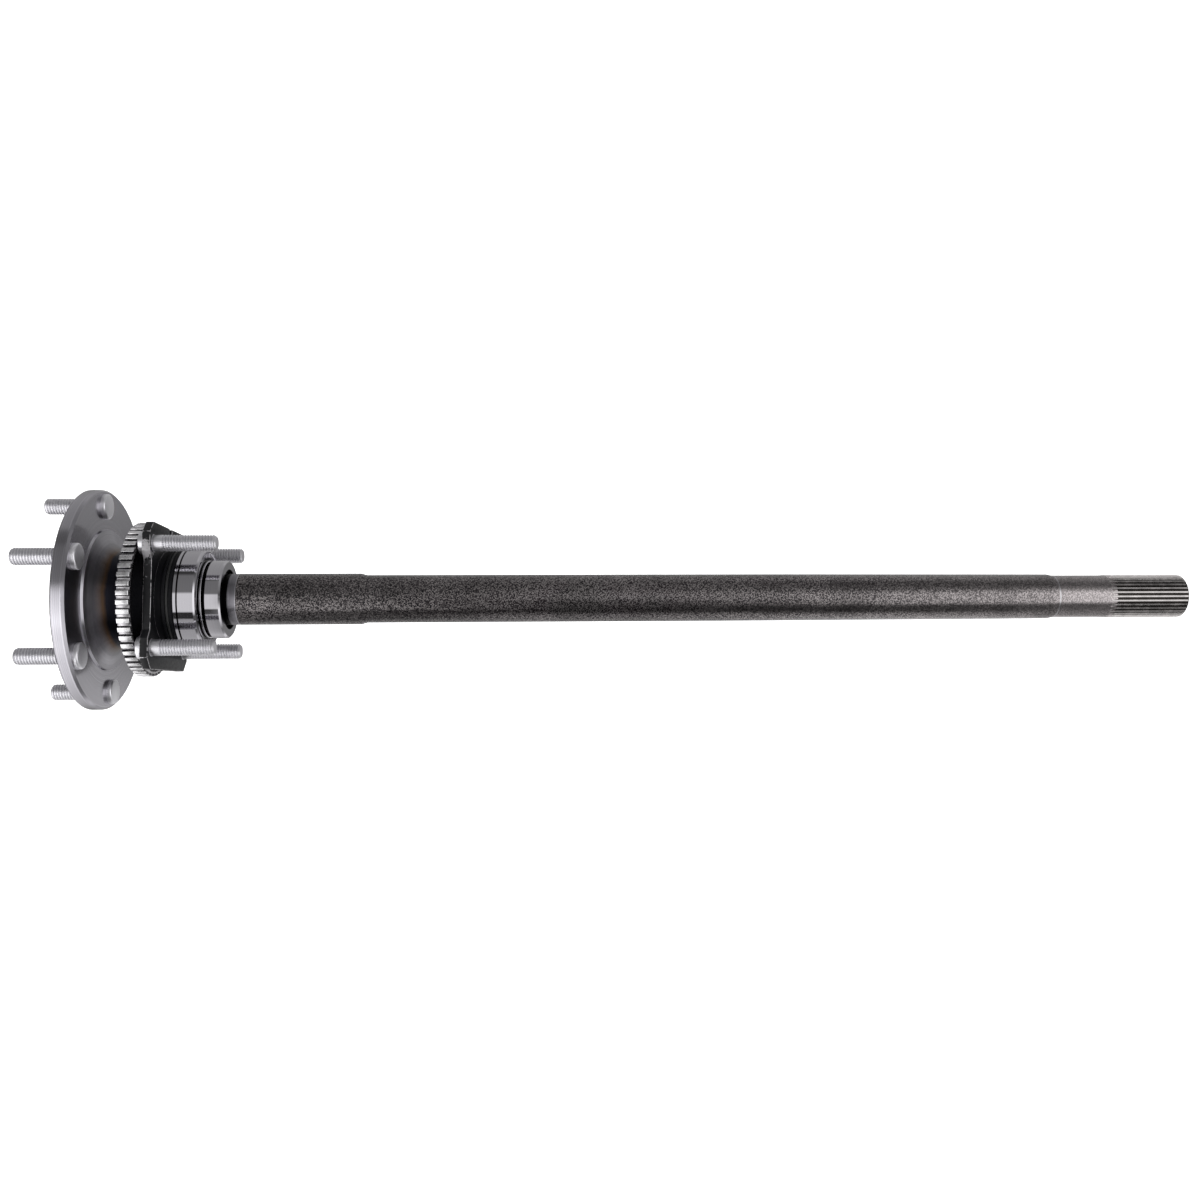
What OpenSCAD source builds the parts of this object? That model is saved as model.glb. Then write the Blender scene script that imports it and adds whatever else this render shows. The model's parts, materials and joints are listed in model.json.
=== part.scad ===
// Axle shaft of a beam axle, with its wheel studs, speed ring, bearing retainer, bearing and collar.
// The axis runs along X. X = 0 is the face of the flange that the wheel sits on, and the spline is at the
// far end in +X. The studs that fasten the retainer stand in a square whose sides run along Y and Z.

/* [Flange] */
// Diameter of the wheel flange
flange_d = 164.8; // [158:0.1:180]
// Thickness of the wheel flange
flange_t = 9.6; // [8:0.1:13]
// Chamfer round the flange's two rims
flange_edge = 1.6; // [0.6:0.1:2.4]
// Space between the heads of the wheel studs and the raised boss on the flange's inner face
boss_gap = 6.85; // [5:0.05:8]
// Height of the raised boss
boss_h = 1.7; // [1:0.1:2.5]
// Diameter of the hub pilot that centres the wheel
pilot_d = 106; // [100:0.1:110]
// Length of the hub pilot beyond the wheel face
pilot_l = 11; // [8:0.5:12]
// Diameter of the forged hollow in the end of the pilot
cup_d = 74; // [60:1:80]
// Depth of the forged hollow
cup_depth = 13; // [6:0.5:14]

/* [Wheel studs] */
// Distance of the wheel studs' circle from the flange's rim
stud_inset = 12.55; // [11.5:0.05:14]
// Number of wheel studs
stud_count = 6; // [5:1:6]
// Diameter of a wheel stud
stud_d = 12; // [11:0.5:14]
// Length of a wheel stud beyond the wheel face
stud_reach = 33; // [25:0.5:45]
// Diameter of a wheel stud's head
stud_head_d = 19; // [17:0.5:22]
// Thickness of a wheel stud's head
stud_head_t = 3.6; // [2.5:0.1:5]
// Turn of the first wheel stud from -Y towards +Z, in degrees
stud_clock = 20.8; // [0:0.1:60]

/* [Neck] */
// Diameter of the neck behind the flange
neck_d = 70; // [68.5:0.5:74]
// Width of the boss's flat rim round the sweep down to the neck
boss_rim = 3.5; // [2:0.1:6]
// Diameter of the land that the oil seal runs on
seal_land_d = 55; // [53:0.5:56]

/* [Speed ring] */
// Outside diameter of the toothed ring
tone_d = 116; // [112:0.5:120]
// Width of the toothed rim
tone_w = 9.2; // [8:0.1:9.6]
// Distance of the ring from the wheel face
tone_x = 34.9; // [33:0.1:35.2]
// Number of teeth
tone_teeth = 54; // [36:1:60]
// Depth of the gaps between the teeth
tone_tooth_h = 2.4; // [1.5:0.1:2.6]
// Share of the tooth pitch that is gap
tone_gap_share = 0.54; // [0.3:0.01:0.6]
// Wall of the rim under the teeth
tone_rim_t = 2.3; // [1.8:0.1:3]
// Thickness of the ring's web
tone_web_t = 3.2; // [2.5:0.1:3.6]
// Diameter of the ring's bore
tone_bore_d = 66; // [63:0.5:67]

/* [Retainer] */
// Distance of the retainer plate from the wheel face
plate_x = 49.0; // [48.8:0.1:51]
// Thickness of the retainer plate
plate_t = 5.8; // [5:0.1:8]
// Width of the plate over its lugs, along Y
plate_w = 94; // [92:0.5:98]
// Height of the plate, along Z
plate_h = 107; // [98:0.5:110]
// Chamfer of the plate's corners
plate_corner = 8; // [6:0.5:10]
// Depth of the waist in each side of the plate
waist_depth = 4.5; // [2:0.5:4.5]
// Length of the straight part of the waist
waist_l = 50; // [40:1:52]
// Width of the notch in the plate's upper edge
notch_w = 6; // [4:0.5:8]
// Depth of the notch
notch_depth = 4; // [2:0.5:6]
// Diameter of the hub that holds the oil seal
hub_d = 83; // [80:0.5:84]
// Outside diameter of the oil seal
seal_d = 72; // [70:0.5:74]
// Width of the oil seal
seal_w = 8.5; // [7:0.1:9]
// Width of the O-ring's groove in the pilot boss
oring_groove_w = 2.6; // [2.2:0.1:3]
// Thickness of the O-ring
oring_d = 2.2; // [1.8:0.1:2.4]

/* [Retainer studs] */
// Side of the square through the retainer studs
plate_stud_pitch = 75.7; // [75:0.1:76.5]
// Diameter of a retainer stud
plate_stud_d = 12; // [10:0.5:12]
// Length of a retainer stud beyond the plate
plate_stud_reach = 44.7; // [30:0.1:55]
// Diameter of a retainer stud's head
plate_stud_head_d = 17; // [15:0.5:18]
// Thickness of a retainer stud's head
plate_stud_head_t = 3.8; // [2.5:0.1:3.9]

/* [Bearing] */
// Distance of the bearing's outer ring from the wheel face
bearing_x = 67.6; // [66:0.1:70]
// Outside diameter of the bearing
bearing_d = 76; // [75.5:0.1:80]
// Bore of the bearing
bearing_bore_d = 40; // [39.6:0.1:41]
// Width of the outer ring
outer_w = 16.7; // [16.4:0.1:18]
// Width of the inner ring
inner_w = 20.1; // [19.6:0.1:21]
// Diameter of the circle through the ball centres
ball_circle_d = 58; // [57.6:0.1:58.6]
// Diameter of a ball
ball_d = 9.525; // [9:0.005:9.8]
// Number of balls
ball_count = 11; // [8:1:12]
// Play of a ball in each raceway
ball_play = 0.12; // [0.05:0.01:0.2]
// Thickness of a bearing seal
bearing_seal_t = 1.1; // [0.8:0.1:1.2]
// Depth of a bearing seal below the outer ring's face
bearing_seal_inset = 0.5; // [0.2:0.1:0.6]
// Outside diameter of a slinger's flange
slinger_d = 59; // [57:0.5:61]

/* [Collar] */
// Outside diameter of the retaining collar
collar_d = 58.8; // [54:0.1:62]
// Length of the collar's outer wall
collar_l = 11.6; // [9:0.1:14]
// Length of the collar's narrow end, which bears on the bearing
collar_lip = 1.8; // [1:0.1:2.5]
// Diameter of the recess in the collar's other end
collar_recess_d = 45; // [43:0.5:50]
// Depth of the recess
collar_recess_depth = 5; // [3:0.1:6]

/* [Shaft] */
// Diameter of the turned stretch after the collar
relief_d = 38.7; // [38:0.1:39.4]
// Distance from the wheel face at which the forged shaft starts
forged_x = 108; // [104:0.5:114]
// Diameter of the forged shaft
shaft_d = 38.9; // [36.8:0.1:39.2]
// Distance of the first step in the shaft from the wheel face
step_x = 198.5; // [150:0.5:260]
// Diameter of the shaft after the first step
middle_d = 36.5; // [36:0.1:36.7]
// Distance from the wheel face at which the long taper starts
taper_x = 514; // [400:1:560]
// Diameter at the end of the long taper
taper_end_d = 35.3; // [34.5:0.1:35.9]
// Distance of the second step from the wheel face
second_step_x = 737; // [700:0.5:760]
// Diameter of the shaft before the spline
tail_d = 33.5; // [33:0.1:33.8]
// Length of the slope at each step
step_slope = 4.2; // [3:0.1:8]

/* [Spline] */
// Overall distance of the spline's end from the wheel face
shaft_end_x = 846.7; // [820:0.1:900]
// Length of the spline
spline_l = 63.2; // [45:0.1:70]
// Outside diameter of the spline
spline_d = 33.9; // [33.8:0.1:35]
// Number of spline teeth
spline_teeth = 32; // [24:1:36]
// Depth of the spline's tooth gaps
spline_h = 1.25; // [0.8:0.05:1.4]
// Chamfer at the spline's end
spline_edge = 1; // [0.5:0.1:2]

/* [Hidden] */
$fn = 96;

// Gap between parts that turn past each other
run_gap = 0.3;
// Gap of the oil seal's lip on its land
lip_gap = 0.1;
// Gap between the speed ring's web and the retainer's hub
hub_gap = 1;
// Gap of the retainer's pilot boss in the housing, and of the retainer round a slinger
pilot_gap = 0.4;
throat_gap = 1.5;
// How far a cutter reaches past the face it opens
eps = 0.5;
// Small chamfer on turned edges
edge = 0.8;
// How far the knurled seat of a pressed stud stands out beyond its thread
knurl_h = 0.3;

// Circle of the wheel studs, boss inside their heads and sweep inside the boss's rim
stud_pcd = flange_d - 2 * stud_inset;
boss_d = stud_pcd - stud_head_d - 2 * boss_gap;
neck_sweep = (boss_d - neck_d) / 2 - boss_rim;
// Knurled seats of the studs
stud_seat_d = stud_d + 2 * knurl_h;
plate_stud_seat_d = plate_stud_d + 2 * knurl_h;

// Stations along the axis
boss_x = flange_t + boss_h;
tone_end_x = tone_x + tone_w;
web_end_x = tone_x + tone_web_t;
plate_end_x = plate_x + plate_t;
bearing_mid_x = bearing_x + outer_w / 2;
outer_end_x = bearing_x + outer_w;
inner_x = bearing_mid_x - inner_w / 2;
inner_end_x = bearing_mid_x + inner_w / 2;
collar_end_x = inner_end_x + collar_lip + collar_l;
recess_x = collar_end_x - collar_recess_depth;
spline_x = shaft_end_x - spline_l;

// Shoulders of the bearing's rings, and the radius of the grooves that the balls run in
shoulder_share = 0.63;
raceway_share = 0.525;
inner_shoulder_d = ball_circle_d - shoulder_share * ball_d;
outer_shoulder_d = ball_circle_d + shoulder_share * ball_d;
raceway_r = raceway_share * ball_d + ball_play;

// Shoulder of the shaft that the bearing's inner ring rests on
shoulder_w = 4;
shoulder_d = inner_shoulder_d - edge;

// Points of a rounded edge at the end x of a rod of radius r; way is 1 where the rod lies in +X of the end
function rounded(x, r, c, way) =
  let (steps = 3)
  [for (i = [0 : steps])
    let (t = 90 * (way > 0 ? i : steps - i) / steps)
    [x + way * c * (1 - cos(t)), r - c + c * sin(t)]];

// Turns a list of [distance along the axis, radius] points about X
module turned(points) {
  rotate([0, 90, 0])
    rotate_extrude()
      polygon([for (p = points) [p[1], p[0]]]);
}

// A ring about X, from one station to another
module ring(x0, x1, outer, inner) {
  turned([[x0, inner / 2], [x1, inner / 2], [x1, outer / 2], [x0, outer / 2]]);
}

// A ring about X with its two outer edges chamfered
module ring_chamfered(x0, x1, outer, inner, c) {
  turned([[x0, inner / 2], [x1, inner / 2], [x1, outer / 2 - c],
    [x1 - c, outer / 2], [x0 + c, outer / 2], [x0, outer / 2 - c]]);
}

// A rod along X from one station to another
module rod(x0, x1, d) {
  translate([x0, 0, 0])
    rotate([0, 90, 0])
      cylinder(d = d, h = x1 - x0);
}

// Places children round the axis, at the stud circle
module at_wheel_studs() {
  for (i = [0 : stud_count - 1])
    rotate([-stud_clock - i * 360 / stud_count, 0, 0])
      translate([0, -stud_pcd / 2, 0])
        children();
}

// Places children at the retainer's four studs
module at_plate_studs() {
  for (y = [-1, 1], z = [-1, 1])
    translate([0, y * plate_stud_pitch / 2, z * plate_stud_pitch / 2])
      children();
}

// Outline of the forging from the wheel face to the spline, with the flange, the neck and the seats
module forging() {
  turned([
    [-pilot_l, 0], [-pilot_l, pilot_d / 2 - 2 * edge], [-pilot_l + 2 * edge, pilot_d / 2],
    [0, pilot_d / 2], [0, flange_d / 2 - edge], [edge, flange_d / 2],
    [flange_t - flange_edge, flange_d / 2], [flange_t, flange_d / 2 - flange_edge],
    [flange_t, boss_d / 2], [boss_x, boss_d / 2 - edge],
    [boss_x, neck_d / 2], [tone_x, neck_d / 2],
    [tone_x, tone_bore_d / 2], [web_end_x, tone_bore_d / 2],
    [web_end_x + edge, seal_land_d / 2], [inner_x - shoulder_w, seal_land_d / 2],
    [inner_x - shoulder_w, shoulder_d / 2], [inner_x, shoulder_d / 2],
    [inner_x, bearing_bore_d / 2], [recess_x + edge, bearing_bore_d / 2],
    [recess_x + 2 * edge, relief_d / 2], [forged_x, relief_d / 2],
    [forged_x + edge, shaft_d / 2], [step_x, shaft_d / 2],
    [step_x + step_slope, middle_d / 2], [taper_x, middle_d / 2],
    [second_step_x, taper_end_d / 2], [second_step_x + step_slope, tail_d / 2],
    [spline_x - step_slope, tail_d / 2], [spline_x, spline_d / 2],
    [shaft_end_x - spline_edge, spline_d / 2], [shaft_end_x, spline_d / 2 - spline_edge],
    [shaft_end_x, 0]]);
}

// Swept fillet between the boss and the neck
module neck_fillet() {
  difference() {
    ring(boss_x, boss_x + neck_sweep, neck_d + 2 * neck_sweep, neck_d - edge);
    rotate([0, 90, 0])
      rotate_extrude()
        translate([neck_d / 2 + neck_sweep, boss_x + neck_sweep])
          circle(r = neck_sweep);
  }
}

// Hollow and centre mark in the pilot's end
module pilot_hollow() {
  mark_d = 14;
  mark_depth = 6;
  slope = 4;
  turned([[-pilot_l - eps, 0], [-pilot_l - eps, cup_d / 2], [-pilot_l, cup_d / 2],
    [-pilot_l + cup_depth, cup_d / 2 - slope], [-pilot_l + cup_depth, mark_d / 2],
    [-pilot_l + cup_depth + mark_depth, 0]]);
}

// One tooth gap of the spline, open at the shaft's end and running out at a slant
module spline_gap() {
  pitch = PI * spline_d / spline_teeth;
  top_share = 0.62;
  root_share = 0.3;
  top_w = top_share * pitch;
  root_w = root_share * pitch;
  over = 1;
  slant = 14;
  flare = over * (top_w - root_w) / spline_h / 2;
  section = [[-root_w / 2, 0], [root_w / 2, 0], [top_w / 2 + flare, spline_h + over],
    [-top_w / 2 - flare, spline_h + over]];
  run_out = (spline_h + over) / sin(slant);
  translate([spline_x + spline_h / tan(slant), 0, spline_d / 2 - spline_h]) {
    rotate([90, 0, 90])
      linear_extrude(spline_l)
        polygon(section);
    rotate([0, slant, 0])
      rotate([90, 0, -90])
        linear_extrude(run_out)
          polygon(section);
  }
}

// Forged, turned and splined shaft with its flange
module axle_shaft() {
  color("dimgray")
    difference() {
      union() {
        forging();
        neck_fillet();
      }
      pilot_hollow();
      at_wheel_studs()
        rod(-eps, flange_t + eps, stud_seat_d);
      for (i = [0 : spline_teeth - 1])
        rotate([i * 360 / spline_teeth, 0, 0])
          spline_gap();
    }
}

// Six pressed studs: rounded head on the flange's inner face, knurled seat, rounded tip beyond the wheel face
module wheel_studs() {
  tip = 2.5;
  brim = 1.4;
  head_x = flange_t + stud_head_t;
  color("silver")
    at_wheel_studs()
      turned(concat([[-stud_reach, 0]], rounded(-stud_reach, stud_d / 2, tip, 1),
        [[0, stud_d / 2], [0, stud_seat_d / 2], [flange_t, stud_seat_d / 2], [flange_t, stud_head_d / 2]],
        rounded(head_x, stud_head_d / 2, brim, -1), [[head_x, 0]]));
}

// One gap between two teeth of the speed ring
module tone_gap() {
  root_share = 0.6;
  top_w = tone_gap_share * PI * tone_d / tone_teeth;
  root_w = root_share * top_w;
  translate([tone_x - eps, 0, tone_d / 2 - tone_tooth_h])
    rotate([90, 0, 90])
      linear_extrude(tone_w + 2 * eps)
        polygon([[-root_w / 2, 0], [root_w / 2, 0],
          [top_w / 2, tone_tooth_h + eps], [-top_w / 2, tone_tooth_h + eps]]);
}

// Toothed cup-shaped ring: web on the neck's seat, rim over the retainer's hub
module tone_ring() {
  rim_in = tone_d / 2 - tone_tooth_h - tone_rim_t;
  color("gainsboro")
    difference() {
      turned([[tone_x, tone_bore_d / 2], [web_end_x, tone_bore_d / 2], [web_end_x, rim_in],
        [tone_end_x, rim_in], [tone_end_x, tone_d / 2 - edge / 2], [tone_end_x - edge / 2, tone_d / 2],
        [tone_x + edge / 2, tone_d / 2], [tone_x, tone_d / 2 - edge / 2]]);
      for (i = [0 : tone_teeth - 1])
        rotate([i * 360 / tone_teeth, 0, 0])
          tone_gap();
    }
}

// Outline of the plate: chamfered corners, waisted sides and a notch in the upper edge
module plate_outline() {
  y = plate_w / 2;
  z = plate_h / 2;
  c = plate_corner;
  n = notch_w / 2;
  waist_y = y - waist_depth;
  waist_z = waist_l / 2;
  lug_slope = 1.4;
  lug_z = waist_z + lug_slope * waist_depth;
  right = [[y - c, z], [y, z - c], [y, lug_z], [waist_y, waist_z],
    [waist_y, -waist_z], [y, -lug_z], [y, c - z], [y - c, -z]];
  left = [for (i = [len(right) - 1 : -1 : 0]) [-right[i][0], right[i][1]]];
  polygon(concat(right, left, [[-n, z], [-n, z - notch_depth], [n, z - notch_depth], [n, z]]));
}

// Stations of the hub, which starts inside the speed ring, of the seal in it and of the O-ring's groove
hub_x = web_end_x + hub_gap;
seal_x = hub_x + edge;
oring_x = bearing_x - 2 * oring_groove_w;
// Diameters of the pilot boss, of the way through it and of the O-ring's groove
pilot_boss_d = bearing_d - 2 * pilot_gap;
throat_d = slinger_d + 2 * throat_gap;
oring_proud = 0.3;
oring_groove_d = pilot_boss_d - 2 * (oring_d - oring_proud);

// Black plate with the hub that holds the oil seal and the boss that pilots in the axle housing
module bearing_retainer() {
  boss_root = 4.5;
  boss_step = 1.3;
  sunk = 1;
  color("#202124")
    difference() {
      union() {
        translate([plate_x, 0, 0])
          rotate([90, 0, 90])
            linear_extrude(plate_t)
              plate_outline();
        ring_chamfered(hub_x, plate_x + sunk, hub_d, throat_d, edge);
        turned([[plate_end_x - sunk, throat_d / 2], [bearing_x, throat_d / 2],
          [bearing_x, pilot_boss_d / 2 - edge], [bearing_x - edge, pilot_boss_d / 2],
          [plate_end_x + boss_root + edge, pilot_boss_d / 2],
          [plate_end_x + boss_root, pilot_boss_d / 2 - boss_step],
          [plate_end_x - sunk, pilot_boss_d / 2 - boss_step]]);
      }
      rod(hub_x - eps, bearing_x + eps, throat_d);
      rod(hub_x - eps, seal_x + seal_w, seal_d);
      ring(oring_x, oring_x + oring_groove_w, bearing_d, oring_groove_d);
      at_plate_studs()
        rod(plate_x - eps, plate_end_x + eps, plate_stud_seat_d);
    }
}

// Four pressed studs: head on the plate's outer face, knurled seat, thread towards the axle housing
module retainer_studs() {
  tip = 1.6;
  brim = 1;
  end = plate_end_x + plate_stud_reach;
  head_x = plate_x - plate_stud_head_t;
  color("silver")
    at_plate_studs()
      turned(concat([[head_x, 0]], rounded(head_x, plate_stud_head_d / 2, brim, 1),
        [[plate_x, plate_stud_head_d / 2], [plate_x, plate_stud_seat_d / 2],
        [plate_end_x, plate_stud_seat_d / 2], [plate_end_x, plate_stud_d / 2],
        [end - tip, plate_stud_d / 2], [end, plate_stud_d / 2 - tip], [end, 0]]));
}

// Lip of the oil seal, shared by the seal and the spring round it
lip_share = 0.62;
lip_x = seal_x + lip_share * seal_w;
lip_r = seal_land_d / 2 + lip_gap;
lip_t = 1.9;
spring_d = 1.6;
spring_r = lip_r + lip_t;
spring_gap = 0.05;

// Lip seal: outer case, web and lip
module oil_seal() {
  case_t = 2.4;
  web_t = 2;
  neck_t = 1.4;
  bevel = 0.4;
  end = seal_x + seal_w;
  color("#1a1a1a")
    difference() {
      turned([[seal_x, lip_r], [seal_x + web_t, lip_r], [lip_x, lip_r], [lip_x + spring_d, lip_r + bevel],
        [lip_x + spring_d, spring_r], [seal_x + web_t, lip_r + neck_t],
        [seal_x + web_t, seal_d / 2 - case_t], [end, seal_d / 2 - case_t],
        [end, seal_d / 2], [seal_x, seal_d / 2]]);
      rotate([0, 90, 0])
        rotate_extrude()
          translate([spring_r, lip_x + spring_d / 2])
            circle(d = spring_d + 2 * spring_gap);
    }
}

// Garter spring in the groove of the lip
module seal_spring() {
  color("silver")
    rotate([0, 90, 0])
      rotate_extrude()
        translate([spring_r, lip_x + spring_d / 2])
          circle(d = spring_d);
}

// O-ring that seals the pilot boss
module pilot_o_ring() {
  color("#101010")
    rotate([0, 90, 0])
      rotate_extrude()
        translate([(oring_groove_d + oring_d) / 2, oring_x + oring_groove_w / 2])
          circle(d = oring_d);
}

// Groove that the balls run in, as a tube round the axis
module raceway() {
  rotate([0, 90, 0])
    rotate_extrude()
      translate([ball_circle_d / 2, bearing_mid_x])
        circle(r = raceway_r);
}

// Where each seal sits, from the bearing's middle
seal_out = outer_w / 2 - bearing_seal_inset;
seal_in = seal_out - bearing_seal_t;
seal_wall = 2.8;
seal_seat_d = bearing_d - 2 * seal_wall;

// Outer ring: narrow land, groove, main land, raceway and a seat for each seal
module bearing_outer_ring() {
  land_w = 2.8;
  groove_w = 1.2;
  round_end = 1.8;
  r = bearing_d / 2;
  groove_x = bearing_x + land_w;
  color("silver")
    difference() {
      turned([[bearing_x, outer_shoulder_d / 2], [outer_end_x, outer_shoulder_d / 2],
        [outer_end_x, r - round_end], [outer_end_x - round_end / 3, r - round_end / 3],
        [outer_end_x - round_end, r], [groove_x + groove_w, r], [groove_x + groove_w, r - groove_w],
        [groove_x, r - groove_w], [groove_x, r], [bearing_x + edge, r], [bearing_x, r - edge]]);
      raceway();
      rod(bearing_x, bearing_mid_x - seal_in, seal_seat_d);
      rod(bearing_mid_x + seal_in, outer_end_x, seal_seat_d);
    }
}

// Inner ring with its raceway and chamfered bore
module bearing_inner_ring() {
  r = bearing_bore_d / 2;
  s = inner_shoulder_d / 2;
  color("silver")
    difference() {
      turned([[inner_x, r + edge], [inner_x + edge, r], [inner_end_x - edge, r], [inner_end_x, r + edge],
        [inner_end_x, s], [inner_x, s]]);
      raceway();
    }
}

// Balls, evenly spaced
module bearing_balls() {
  color("whitesmoke")
    for (i = [0 : ball_count - 1])
      rotate([i * 360 / ball_count, 0, 0])
        translate([bearing_mid_x, 0, ball_circle_d / 2])
          sphere(d = ball_d);
}

// Moulded cage: a back ring with pockets that grip the balls from one side
module bearing_cage() {
  pocket_gap = 0.15;
  back_t = 1.4;
  grip_share = 0.24;
  half_t = 2;
  back = ball_d / 2 + pocket_gap + back_t;
  front = grip_share * ball_d;
  color("#8a7a55")
    difference() {
      ring(bearing_mid_x - back, bearing_mid_x + front,
        ball_circle_d + 2 * half_t, ball_circle_d - 2 * half_t);
      for (i = [0 : ball_count - 1])
        rotate([i * 360 / ball_count, 0, 0])
          translate([bearing_mid_x, 0, ball_circle_d / 2])
            sphere(d = ball_d + 2 * pocket_gap);
    }
}

// Slinger sleeve on the inner ring, shared by the slingers and the seals
sleeve_t = 0.9;
sleeve_d = inner_shoulder_d + 2 * sleeve_t;

// Rubber seal in the outer ring; side is -1 outboard and 1 inboard
module bearing_seal(side) {
  a = bearing_mid_x + side * seal_in;
  b = bearing_mid_x + side * seal_out;
  color("#151515")
    ring(min(a, b), max(a, b), seal_seat_d, sleeve_d + 2 * run_gap);
}

// Thin steel ring with a sleeve on the inner ring, a flange outside the seal and a turned-in rim
module slinger(side) {
  s = inner_shoulder_d / 2;
  r = slinger_d / 2;
  face = inner_w / 2;
  back = face - sleeve_t;
  rim = seal_out + run_gap;
  sleeve_end = seal_in - run_gap;
  color("silver")
    turned([for (p = [[sleeve_end, s], [face, s], [face, r], [rim, r], [rim, r - sleeve_t],
      [back, r - sleeve_t], [back, s + sleeve_t], [sleeve_end, s + sleeve_t]])
      [bearing_mid_x + side * p[0], p[1]]]);
}

module bearing_seal_outboard() {
  bearing_seal(-1);
}

module bearing_seal_inboard() {
  bearing_seal(1);
}

module slinger_outboard() {
  slinger(-1);
}

module slinger_inboard() {
  slinger(1);
}

// Pressed collar: narrow lip on the bearing, chamfered wall, recessed end
module retaining_collar() {
  lip_wall = 5;
  end_edge = 1.2;
  lip_r = bearing_bore_d / 2 + lip_wall;
  x0 = inner_end_x + collar_lip;
  r = collar_d / 2;
  color("silver")
    turned([[inner_end_x, bearing_bore_d / 2], [recess_x, bearing_bore_d / 2],
      [recess_x, collar_recess_d / 2], [collar_end_x, collar_recess_d / 2],
      [collar_end_x, r - end_edge], [collar_end_x - end_edge, r], [x0 + edge, r], [x0, r - edge],
      [x0, lip_r], [inner_end_x, lip_r]]);
}

axle_shaft();
wheel_studs();
tone_ring();
bearing_retainer();
retainer_studs();
oil_seal();
seal_spring();
pilot_o_ring();
bearing_outer_ring();
bearing_inner_ring();
bearing_balls();
bearing_cage();
bearing_seal_outboard();
bearing_seal_inboard();
slinger_outboard();
slinger_inboard();
retaining_collar();
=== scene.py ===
"""Axle shaft of a beam axle, dressed for a studio picture.

The CAD model is the frame. The studs get their threads, the retainer, the speed ring and the slinger their
rounded edges, and every surface its finish. The shaft hangs in front of a seamless white studio.
"""

import json
import math
from contextlib import contextmanager

import bpy
from bpy.props import FloatProperty, FloatVectorProperty, PointerProperty
from mathutils import Euler, Matrix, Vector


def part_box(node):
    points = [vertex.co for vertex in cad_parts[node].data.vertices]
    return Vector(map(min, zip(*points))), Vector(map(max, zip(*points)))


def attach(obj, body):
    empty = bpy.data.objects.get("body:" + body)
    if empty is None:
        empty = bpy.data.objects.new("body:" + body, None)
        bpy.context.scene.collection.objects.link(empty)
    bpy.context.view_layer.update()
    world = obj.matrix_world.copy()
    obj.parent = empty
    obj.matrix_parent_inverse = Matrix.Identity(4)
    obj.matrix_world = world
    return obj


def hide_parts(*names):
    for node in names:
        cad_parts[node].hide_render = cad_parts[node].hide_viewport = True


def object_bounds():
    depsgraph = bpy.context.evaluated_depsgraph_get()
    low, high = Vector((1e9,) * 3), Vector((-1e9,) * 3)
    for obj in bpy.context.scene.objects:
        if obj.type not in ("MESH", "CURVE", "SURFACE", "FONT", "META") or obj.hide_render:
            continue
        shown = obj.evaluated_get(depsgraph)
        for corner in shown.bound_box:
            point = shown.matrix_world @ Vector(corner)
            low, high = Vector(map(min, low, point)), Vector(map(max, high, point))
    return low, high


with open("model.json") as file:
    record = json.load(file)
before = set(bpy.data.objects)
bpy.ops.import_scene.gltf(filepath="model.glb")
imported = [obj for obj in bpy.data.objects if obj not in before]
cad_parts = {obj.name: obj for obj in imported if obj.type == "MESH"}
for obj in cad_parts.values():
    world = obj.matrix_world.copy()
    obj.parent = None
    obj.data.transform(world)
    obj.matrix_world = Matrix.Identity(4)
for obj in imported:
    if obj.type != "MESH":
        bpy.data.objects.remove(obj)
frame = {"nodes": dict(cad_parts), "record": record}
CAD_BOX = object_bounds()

bl_info = {
    "name": "Axle shaft",
    "version": (1, 0, 0),
    "blender": (4, 5, 0),
    "location": "View3D > Sidebar > Axle shaft",
    "description": "Threads, rounded edges, finishes and studio of an axle shaft",
    "category": "Object",
}

MM = 0.001
MOUNTS = {mount["name"]: mount["dims"] for mount in frame["record"]["mounts"]}
WHEEL_STUDS = MOUNTS["wheel_studs"]
HOUSING_STUDS = MOUNTS["housing_studs"]

# Stations along the axis, from the flange's wheel side, in mm
FLANGE_BACK = 9.6
SWEEP_START = 11.6
HEAD_MIDDLE, HEAD_REACH = 15, 5.4
PLATE_FRONT, PLATE_BACK = 49.0, 54.8
FORGED_START = 108
STEP_FOOT = 741.6
SPLINE_START = 788
# First wheel stud's angle above the camera's side, in degrees
STUD_CLOCK = 20.8
# Turn from one stud's thread to the next one's, in radians, so that no two threads start alike
THREAD_TURN = 2.4


def linear(hex_colour):
    """An sRGB hex colour as linear red, green, blue and alpha."""
    parts = [int(hex_colour[i:i + 2], 16) / 255 for i in (1, 3, 5)]
    return (*(p / 12.92 if p <= 0.04045 else ((p + 0.055) / 1.055) ** 2.4 for p in parts), 1.0)


def length(name, description, size_mm):
    """A length in the sidebar, given in millimetres."""
    return FloatProperty(name=name, description=description, default=size_mm * MM, unit="LENGTH", precision=5)


def colour(name, description, hex_colour):
    """A colour in the sidebar, given as sRGB hex."""
    return FloatVectorProperty(name=name, description=description, default=linear(hex_colour), size=4,
                               min=0.0, max=1.0, subtype="COLOR")


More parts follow.
